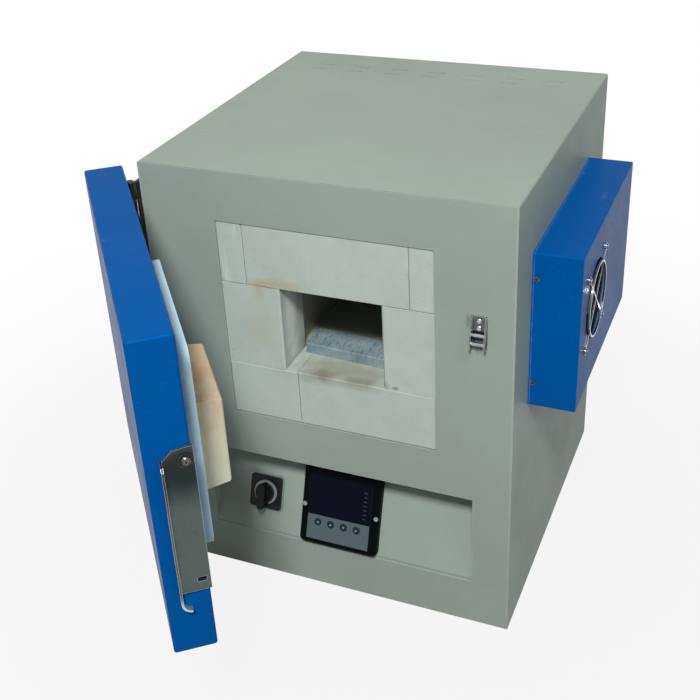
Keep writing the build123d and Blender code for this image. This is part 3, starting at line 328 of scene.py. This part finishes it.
def plastic(name, colour, rough, grain=0.25, scale=1400.0, dusty=0.05, specular=0.15, bright=0.3):
    """Moulded plastic: fine spark grain, dust in places, uneven gloss and rubbed edges."""
    look = Shader(name, rough, specular=specular)
    dust = look.ramp(look.noise(scale=48.0, detail=6.0, rough=0.7), 0.55, 0.8, 0.0, dusty)
    speck = look.ramp(look.noise(scale=700.0, detail=2.0), 0.66, 0.75, 0.0, dusty)
    tint = look.mix(look.math("MAXIMUM", dust, speck), colour, paler(colour, 0.3))
    tint = look.mix(look.edge(radius=0.0006, gain=bright), tint, paler(colour, 0.25))
    cloud = look.noise(scale=30.0, detail=5.0, rough=0.6)
    gloss = look.ramp(cloud, 0.3, 0.75, rough * 0.75, min(1.0, rough * 1.35))
    normal = look.bump(look.noise(scale, detail=2.0), strength=grain, distance=0.0003)
    return look.finish(tint, gloss, normal)


FOOT_LIFT = 0.004               # from the lever's lowest point up to the middle of the painted highlight on its foot
SHADE_DROP = 0.012              # from the lever's pivot down to the middle of the painted shade on its upper end
SLOT_DROP = 0.125               # from the lever's pivot down to the slotted end, behind which the door is painted in shadow
LEVER_TOP = Vector(joint("lever_pivot")["pos_m"])
LEVER_LOW, LEVER_HIGH = corners("latch_lever")
LEVER_FOOT = Vector((*((LEVER_LOW + LEVER_HIGH) / 2).xy, LEVER_LOW.z + FOOT_LIFT))
PLUG_TOP = corners("door_plug")[1]


def below(point, drop):
    """The place that lies a drop, in metres, under a point."""
    return tuple(point - Vector((0.0, 0.0, drop)))


GREY = rgb(152, 164, 154)
# colour of the painted shadows on the grey paint
SHADOW_TONE = rgb(84, 92, 84)
# dull olive of the faint darker patches low on the left of the front
DULL_OLIVE = rgb(120, 112, 90)
AZURE = rgb(0, 82, 152)
# near-black of the painted shadow behind the lever's slot
SLOT_SHADOW = rgb(14, 20, 20)
CHALK = rgb(184, 195, 186)
OCHRE = rgb(178, 158, 108)
UMBER = rgb(120, 100, 80)
SCORCH = rgb(112, 102, 92)

# Marks, painted shadows and painted highlights: a place, its radii in metres, its depth and its
# colour.
# painted shadows above-left of and below the keeper, a faint darker patch below-left of it, a painted
# shadow beside the switch, and faint darker patches low on the left of the front
GREY_SHADOWS_AND_MARKS = (
    (at(358, -2, 393), (0.006, 0.02, 0.012), 0.45, SHADOW_TONE),
    (at(368, -2, 362), (0.006, 0.02, 0.008), 0.35, SHADOW_TONE),
    (at(352, -2, 352), (0.012, 0.02, 0.016), 0.10, SHADOW_TONE),
    (at(88, 24, 126), (0.014, 0.02, 0.010), 0.35, SHADOW_TONE),
    (at(60, 12, 90), (0.04, 0.05, 0.05), 0.18, DULL_OLIVE),
    (at(74, -2, 195), (0.02, 0.03, 0.05), 0.14, DULL_OLIVE),
)
# scorch over the mouth's corner, warm left jamb with a painted highlight on its inner face, stained
# edge of the sill
BRICK_STAINS_AND_HIGHLIGHT = (
    (at(134, 0, 397), (0.020, 0.03, 0.010), 0.55, OCHRE),
    (at(160, 0, 399), (0.034, 0.03, 0.009), 0.42, OCHRE),
    (at(128, 0, 386), (0.010, 0.03, 0.012), 0.22, rgb(160, 128, 88)),
    (at(126, 0, 345), (0.030, 0.03, 0.050), 0.20, rgb(176, 160, 120)),
    # painted highlight: the lit patch on the inner face of the left jamb
    (at(152, 24, 350), (0.010, 0.022, 0.085), 0.75, rgb(238, 242, 234)),
    (at(210, 20, 293), (0.090, 0.05, 0.012), 0.55, rgb(128, 122, 96)),
    (at(192, 7, 294), (0.026, 0.014, 0.005), 0.62, SCORCH),
    (at(236, 6, 294), (0.022, 0.012, 0.005), 0.50, SCORCH),
    (at(279, 0, 297), (0.005, 0.01, 0.003), 0.70, UMBER),
    (at(266, 4, 299), (0.008, 0.02, 0.006), 0.40, UMBER),
)
# painted shade darkens the chamber towards its back, and the plug is toasted at its top
MUFFLE_SHADE = ((at(208, 240, 350), (0.12, 0.16, 0.09), 0.70, rgb(84, 88, 74)),)
PLUG_MARKS = ((tuple(PLUG_TOP), (0.16, 0.16, 0.07), 0.72, rgb(208, 160, 108)),)
# painted shadow on the door behind the latch lever's slotted end
BLUE_SLOT_SHADOW = ((below(LEVER_TOP, SLOT_DROP), (0.013, 0.013, 0.008), 0.97, SLOT_SHADOW),)
# painted shade over the lever's upper end and a painted highlight on its foot
LEVER_SHADE_AND_HIGHLIGHT = (
    (below(LEVER_TOP, SHADE_DROP), (0.06, 0.06, 0.045), 0.85, (0.012, 0.02, 0.02, 1)),
    (tuple(LEVER_FOOT), (0.06, 0.06, 0.016), 0.9, (0.60, 0.64, 0.62, 1)),
)

grey_paint = powder_coat("grey_paint", GREY, rough=0.46, peel=0.10, marks=GREY_SHADOWS_AND_MARKS, specular=0.08)
blue_paint = powder_coat(
    "blue_paint", AZURE, rough=0.30, peel=0.16, marks=BLUE_SLOT_SHADOW, worn=0.25, specular=0.015,
)
back_plate_paint = powder_coat(
    "back_plate_paint", rgb(4, 84, 158), rough=0.38, peel=0.14, specular=0.12,
)
black_steel = powder_coat("black_steel", rgb(20, 22, 24), rough=0.38, peel=0.15, specular=0.2)
brick_paint = brick("firebrick", CHALK, BRICK_STAINS_AND_HIGHLIGHT)
streaked_brick = brick("streaked_firebrick", CHALK, BRICK_STAINS_AND_HIGHLIGHT, streaks=0.42)
muffle_paint = brick("muffle_board", rgb(168, 174, 158), MUFFLE_SHADE, edge_wear_and_highlight=0.2)
plug_paint = brick("plug_brick", rgb(226, 222, 200), PLUG_MARKS, pores=0.5, edge_wear_and_highlight=0.3)
sheath_ceramic = brick("sheath_ceramic", rgb(214, 210, 198), pores=0.2)
fibre_paint = fibre("ceramic_fibre", rgb(224, 226, 218))
steel_paint = metal("zinc_sheet", (0.46, 0.48, 0.49, 1), rough=0.42, depth=0.1, scale=30.0)
# the lever's steel: its very dark colour is painted dark reflection of the surroundings
stainless = metal(
    "stainless", (0.115, 0.145, 0.135, 1), rough=0.40, brush=(1, 1, 16), depth=0.20,
    scale=300.0, tarnish_and_dark_reflection=0.25, marks=LEVER_SHADE_AND_HIGHLIGHT, bright=0.8,
)
chrome = metal(
    "chrome_plate", (0.42, 0.45, 0.46, 1), rough=0.14, depth=0.05, scale=90.0, tarnish_and_dark_reflection=0.5,
)
# the keeper's chrome: its very dark colour and heavy clouding are painted dark reflection of the
# surroundings, its bright edges painted glints
dark_chrome = metal(
    "dark_chrome", (0.13, 0.155, 0.155, 1), rough=0.22, depth=0.2, scale=160.0,
    tarnish_and_dark_reflection=0.85, bright=1.0,
)
screw_steel = metal("screw_steel", (0.50, 0.53, 0.52, 1), rough=0.28, depth=0.2, scale=300.0)
bezel_screw = metal(
    "bezel_screw", (0.30, 0.33, 0.32, 1), rough=0.25, depth=0.4, scale=500.0, tarnish_and_dark_reflection=0.8,
)
dull_steel = metal(
    "dull_steel", (0.10, 0.10, 0.09, 1), rough=0.35, depth=0.2, scale=300.0, bright=0.8,
)
wire_metal = metal(
    "element_wire", (0.20, 0.17, 0.15, 1), rough=0.62, brush=(1, 6, 1), depth=0.4,
    scale=260.0, tarnish_and_dark_reflection=0.5,
)
alloy = metal(
    "heat_sink_alloy", (0.60, 0.61, 0.63, 1), rough=0.38, brush=(1, 1, 10), depth=0.15,
    scale=180.0,
)
black_plastic = plastic(
    "black_plastic", rgb(3, 9, 10), rough=0.34, dusty=0.02, specular=0.03, bright=0.12,
)
knob_plastic = plastic("knob_plastic", rgb(14, 17, 18), rough=0.40, grain=0.35)
button_plastic = plastic("button_plastic", rgb(14, 34, 44), rough=0.38)
screen_plastic = plastic(
    "screen_plastic", rgb(9, 12, 26), rough=0.20, grain=0.02, scale=900.0, dusty=0.01,
    specular=0.03, bright=0.0,
)
label_film = plastic("label_film", rgb(80, 93, 97), rough=0.42, grain=0.08, bright=0.1)
switch_grey = plastic("switch_grey", rgb(132, 142, 138), rough=0.36, grain=0.2, specular=0.4)
fan_plastic = plastic("fan_plastic", rgb(14, 15, 17), rough=0.55, grain=0.4, scale=900.0, dusty=0.12)
gland_nylon = plastic("gland_nylon", rgb(20, 20, 22), rough=0.60, grain=0.45)
legend_ink = plastic("legend_ink", rgb(118, 134, 140), rough=0.5, grain=0.1, scale=900.0)
faint_ink = plastic("faint_ink", rgb(40, 48, 66), rough=0.5, grain=0.1, scale=900.0)


def hearth_ceramic():
    """Smooth pale slab on the hearth, scorched and scuffed where work slides over it."""
    skin = 0.002                # depth below its top within which the scuffs fade to a quarter
    look = Shader("hearth_plate", 0.5, specular=0.3)
    cloud = look.noise(scale=30.0, detail=6.0, rough=0.65)
    tint = look.mix(look.ramp(cloud, 0.35, 0.7), rgb(142, 160, 166), rgb(112, 130, 136))
    scuff = look.noise(scale=90.0, detail=5.0, rough=0.6, where=look.stretch((5.0, 1.0, 0.3)))
    height = look.along((0, 0, 1), (0, 0, corners("hearth_plate")[1].z))
    top = look.ramp(height, -skin, 0.0, 0.25, 1.0)
    tint = look.mix(look.both(look.ramp(scuff, 0.54, 0.64, 0.0, 0.65), top), tint, rgb(62, 74, 76))
    tint = look.mix(look.edge(radius=0.001, gain=0.5), tint, rgb(176, 190, 194))
    normal = look.bump(scuff, strength=0.3, distance=0.0008)
    return look.finish(tint, look.ramp(cloud, 0.3, 0.7, 0.42, 0.7), normal)


def liner_finish():
    """Liner rim: door blue at its foot, turning pale towards its outer edge."""
    no_blue_height = 0.010            # height over the door's back plate where no blue is left
    wander = 0.006              # how far the edge of the paling wanders
    look = Shader("liner_paint", 0.4, specular=0.2)
    foot = max(v.co.dot(INWARD) for v in NODES["door_back_plate"].data.vertices)
    rise = look.math("SUBTRACT", look.along(INWARD), foot)
    ragged = look.both(look.math("SUBTRACT", look.noise(scale=70.0, detail=5.0), 0.5), wander)
    paling = look.ramp(look.math("ADD", rise, ragged), 0.0, no_blue_height)
    tint = look.mix(paling, rgb(20, 100, 166), rgb(190, 220, 230))
    flecks = look.ramp(look.noise(scale=260.0, detail=4.0), 0.6, 0.75, 0.0, 0.4)
    tint = look.mix(flecks, tint, rgb(220, 232, 228))
    tint = look.mix(look.edge(radius=0.0010, gain=0.7), tint, rgb(230, 240, 236))
    rough = look.ramp(look.noise(scale=40.0, detail=4.0), 0.3, 0.7, 0.34, 0.6)
    normal = look.bump(look.noise(scale=900.0, detail=2.0), strength=0.15, distance=0.0005)
    return look.finish(tint, rough, normal)


FINISH = {
    "case_wrap": grey_paint, "front_panel": grey_paint, "back_panel": grey_paint,
    "control_panel": grey_paint, "base_pan": steel_paint, "inner_shelf": steel_paint,
    "door_shell": blue_paint, "door_back_plate": back_plate_paint, "door_liner": liner_finish(),
    "side_box_base": blue_paint, "side_box_cover": blue_paint, "side_box_screws": dull_steel,
    "door_plug": plug_paint, "door_fibre_pad": fibre_paint, "door_insulation": fibre_paint,
    "insulation_pack": fibre_paint, "brick_top_left": streaked_brick,
    "hearth_plate": hearth_ceramic(), "elements": wire_metal, "thermocouple": sheath_ceramic,
    "controller_bezel": black_plastic, "controller_housing": black_plastic,
    "controller_screen": screen_plastic, "controller_label": label_film,
    "controller_screws": bezel_screw, "switch_plate": knob_plastic, "switch_body": black_plastic,
    "switch_knob": knob_plastic, "switch_frame": switch_grey,
    "keeper": dark_chrome, "keeper_pins": chrome, "keeper_screws": screw_steel,
    "latch_lever": stainless, "lever_bolt": dull_steel, "lever_washer": black_steel,
    "hinge_case_leaves": black_steel, "hinge_door_leaves": black_steel,
    "hinge_pins": black_steel, "hinge_screws": black_steel,
    "fan_frame": fan_plastic, "fan_rotor": fan_plastic, "fan_guard": chrome,
    "heat_sink": alloy, "inlet_gland": gland_nylon,
}
FAMILY = {"brick_": brick_paint, "muffle_": muffle_paint, "button_": button_plastic}
for name, node in NODES.items():
    if name in FINISH:
        finish = FINISH[name]
    else:
        finish = next(paint for start, paint in FAMILY.items() if name.startswith(start))
    for slot in node.material_slots:
        slot.material = finish


# ---------------------------------------------------------------- small pieces that only show
def mesh_piece(name, points, faces, material, body):
    """A small mesh piece on a body, finished like one of the record's slots."""
    mesh = bpy.data.meshes.new(name)
    mesh.from_pydata([tuple(p) for p in points], [], faces)
    mesh.update()
    made = bpy.data.objects.new(name, mesh)
    bpy.context.scene.collection.objects.link(made)
    made.data.materials.append(material)
    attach(made, body)


def prism(centre, across, up, out, outline, thick):
    """Points and faces of a flat outline, given in millimetres, raised along out."""
    lift = [centre + (across * a + up * b) / 1000 for a, b in outline]
    points = lift + [p + out * thick / 1000 for p in lift]
    count = len(outline)
    faces = [tuple(range(count))[::-1], tuple(range(count, 2 * count))]
    faces += [(n, (n + 1) % count, (n + 1) % count + count, n + count) for n in range(count)]
    return points, faces


def face_middle(node):
    """Middle of the face of a node that looks out of the control panel."""
    low, high = corners(node)
    middle = (low + high) / 2
    reach = max((v.co - middle).dot(PANEL_OUT) for v in NODES[node].data.vertices)
    return middle + PANEL_OUT * reach


def turned(outline, degrees):
    """An outline turned about its origin."""
    cosine = math.cos(math.radians(degrees))
    sine = math.sin(math.radians(degrees))
    return [(a * cosine - b * sine, a * sine + b * cosine) for a, b in outline]


def button_arrows():
    """Pale arrows on the four buttons: left, up, down and right."""
    arrow = ((-1.3, -1.5), (1.6, 0.0), (-1.3, 1.5))         # in millimetres, pointing right
    thick = 0.12
    for number, degrees in enumerate((180, 90, 270, 0), start=1):
        spot = face_middle(f"button_{number}")
        points, faces = prism(spot, ACROSS, PANEL_UP, PANEL_OUT, turned(arrow, degrees), thick)
        mesh_piece(f"button_arrow_{number}", points, faces, legend_ink, f"button_{number}")


def screen_marks():
    """A column of faint legend marks and unlit lamps at the right of the dark window."""
    face = face_middle("controller_screen")
    bar = ((-1.8, -0.5), (1.8, -0.5), (1.8, 0.5), (-1.8, 0.5))      # in millimetres
    thick = 0.08
    rows = 7
    aside = 0.031               # metres from the window's middle to the column
    lowest = -0.020             # height of the lowest mark over that middle
    pitch = 0.0052
    for row in range(rows):
        spot = face + ACROSS * aside + PANEL_UP * (lowest + pitch * row)
        points, faces = prism(spot, ACROSS, PANEL_UP, PANEL_OUT, bar, thick)
        mesh_piece(f"screen_mark_{row + 1}", points, faces, faint_ink, "case")


button_arrows()
screen_marks()


# ---------------------------------------------------------------- floor, light and camera
MIDDLE = Vector((0.0, -0.15, 0.30))     # what the lamps are aimed at
LAMP_DISTANCE = 3.0                     # in metres
WORLD_LIGHT = 0.17                      # strength of the even studio light on the object


def seen_directly(tree):
    """1 for camera, glossy and transmitted rays, so that the studio behind the object shows white."""
    path = tree.nodes.new("ShaderNodeLightPath")
    seen = path.outputs["Is Camera Ray"]
    for ray in ("Is Glossy Ray", "Is Transmission Ray"):
        either = tree.nodes.new("ShaderNodeMath")
        either.operation = "MAXIMUM"
        tree.links.new(seen, either.inputs[0])
        tree.links.new(path.outputs[ray], either.inputs[1])
        seen = either.outputs[0]
    return seen


def floor_finish():
    """Matt grey that takes the shadow, under a white that is full further away."""
    grey = 0.28                 # of the matt floor itself
    near = 0.25                 # metres from the floor's middle where it begins to turn white
    far = 1.1                   # and where it is all white
    near_white = 0.88           # share of white up to there
    mat = bpy.data.materials.new("floor")
    mat.use_nodes = True
    tree = mat.node_tree
    tree.nodes.clear()
    out = tree.nodes.new("ShaderNodeOutputMaterial")
    diffuse = tree.nodes.new("ShaderNodeBsdfDiffuse")
    diffuse.inputs["Color"].default_value = (grey, grey, grey, 1)
    glow = tree.nodes.new("ShaderNodeEmission")
    glow.inputs["Color"].default_value = WHITE
    place = tree.nodes.new("ShaderNodeTexCoord")
    away = tree.nodes.new("ShaderNodeVectorMath")
    away.operation = "LENGTH"
    tree.links.new(place.outputs["Object"], away.inputs[0])
    share = tree.nodes.new("ShaderNodeMapRange")
    share.interpolation_type = "SMOOTHSTEP"
    share.inputs["From Min"].default_value = near
    share.inputs["From Max"].default_value = far
    share.inputs["To Min"].default_value = near_white
    tree.links.new(away.outputs["Value"], share.inputs["Value"])
    white = tree.nodes.new("ShaderNodeMath")
    white.operation = "MULTIPLY"
    tree.links.new(seen_directly(tree), white.inputs[0])
    tree.links.new(share.outputs["Result"], white.inputs[1])
    blend = tree.nodes.new("ShaderNodeMixShader")
    tree.links.new(white.outputs[0], blend.inputs["Fac"])
    tree.links.new(diffuse.outputs[0], blend.inputs[1])
    tree.links.new(glow.outputs[0], blend.inputs[2])
    tree.links.new(blend.outputs[0], out.inputs["Surface"])
    return mat


def pale_floor():
    """White floor that keeps the object's shadow near it and runs out into the white studio."""
    half = 6.0                  # metres from its middle to each side
    gap = 0.0005                # below the object
    mesh = bpy.data.meshes.new("floor")
    outline = [(-half, -half, 0), (half, -half, 0), (half, half, 0), (-half, half, 0)]
    mesh.from_pydata(outline, [], [(0, 1, 2, 3)])
    floor = bpy.data.objects.new("floor", mesh)
    floor.location.z = cad_box[0][2] - gap
    bpy.context.scene.collection.objects.link(floor)
    floor.data.materials.append(floor_finish())


def white_world(strength):
    """Even studio light, and white where the camera, metal or glass looks past the object."""
    world = bpy.data.worlds.new("studio")
    bpy.context.scene.world = world
    world.use_nodes = True
    tree = world.node_tree
    background = tree.nodes["Background"]
    background.inputs["Color"].default_value = WHITE
    level = tree.nodes.new("ShaderNodeMapRange")
    level.inputs["To Min"].default_value = strength
    level.inputs["To Max"].default_value = 1.0
    tree.links.new(seen_directly(tree), level.inputs["Value"])
    tree.links.new(level.outputs["Result"], background.inputs["Strength"])


def softbox(name, direction, size, power, colour=(1, 1, 1), glossy=True):
    """A square area light, seen from the object in the given direction and aimed at it."""
    data = bpy.data.lights.new(name, "AREA")
    data.shape = "SQUARE"
    data.size = size
    data.energy = power
    data.color = colour
    away = Vector(direction).normalized()
    lamp = bpy.data.objects.new(name, data)
    lamp.location = MIDDLE + away * LAMP_DISTANCE
    lamp.rotation_euler = (-away).to_track_quat("-Z", "Y").to_euler()
    lamp.visible_glossy = glossy
    bpy.context.scene.collection.objects.link(lamp)


def photo_camera():
    """Camera where the photograph was taken from: position in metres, aim in degrees."""
    place = Vector((0.4325, -1.1086, 0.9362))
    azimuth = math.radians(23.95)
    elevation = math.radians(28.82)
    roll = math.radians(3.01)
    focal_length = 57.41        # in millimetres, on a sensor as wide as the next value
    sensor_width = 36.0
    frame_shift = -0.0661       # of the frame's middle off the lens's axis, in frame widths
    nearest = 0.01              # metres from the camera where the view starts
    ahead = Vector((
        -math.sin(azimuth) * math.cos(elevation),
        math.cos(azimuth) * math.cos(elevation),
        -math.sin(elevation),
    ))
    right = ahead.cross(Vector((0, 0, 1))).normalized()
    down = ahead.cross(right)
    right_rolled = right * math.cos(roll) + down * math.sin(roll)
    down_rolled = down * math.cos(roll) - right * math.sin(roll)
    data = bpy.data.cameras.new("photo_camera")
    data.lens = focal_length
    data.sensor_width = sensor_width
    data.shift_y = frame_shift
    data.clip_start = nearest
    camera = bpy.data.objects.new("photo_camera", data)
    turn = Matrix((right_rolled, -down_rolled, -ahead)).transposed()
    camera.matrix_world = Matrix.Translation(place) @ turn.to_4x4()
    bpy.context.scene.collection.objects.link(camera)
    bpy.context.scene.camera = camera


pale_floor()
white_world(WORLD_LIGHT)
softbox("key", direction=(0.201, -0.627, 0.750), size=0.5, power=90.0)
softbox(
    "side_fill", direction=(0.85, -0.30, 0.43), size=1.6, power=12.0,
    colour=(0.80, 0.92, 1.0), glossy=False,
)
softbox("back_fill", direction=(-0.50, 0.85, 0.16), size=1.6, power=45.0, glossy=False)
photo_camera()

bpy.context.scene.view_settings.view_transform = "Standard"
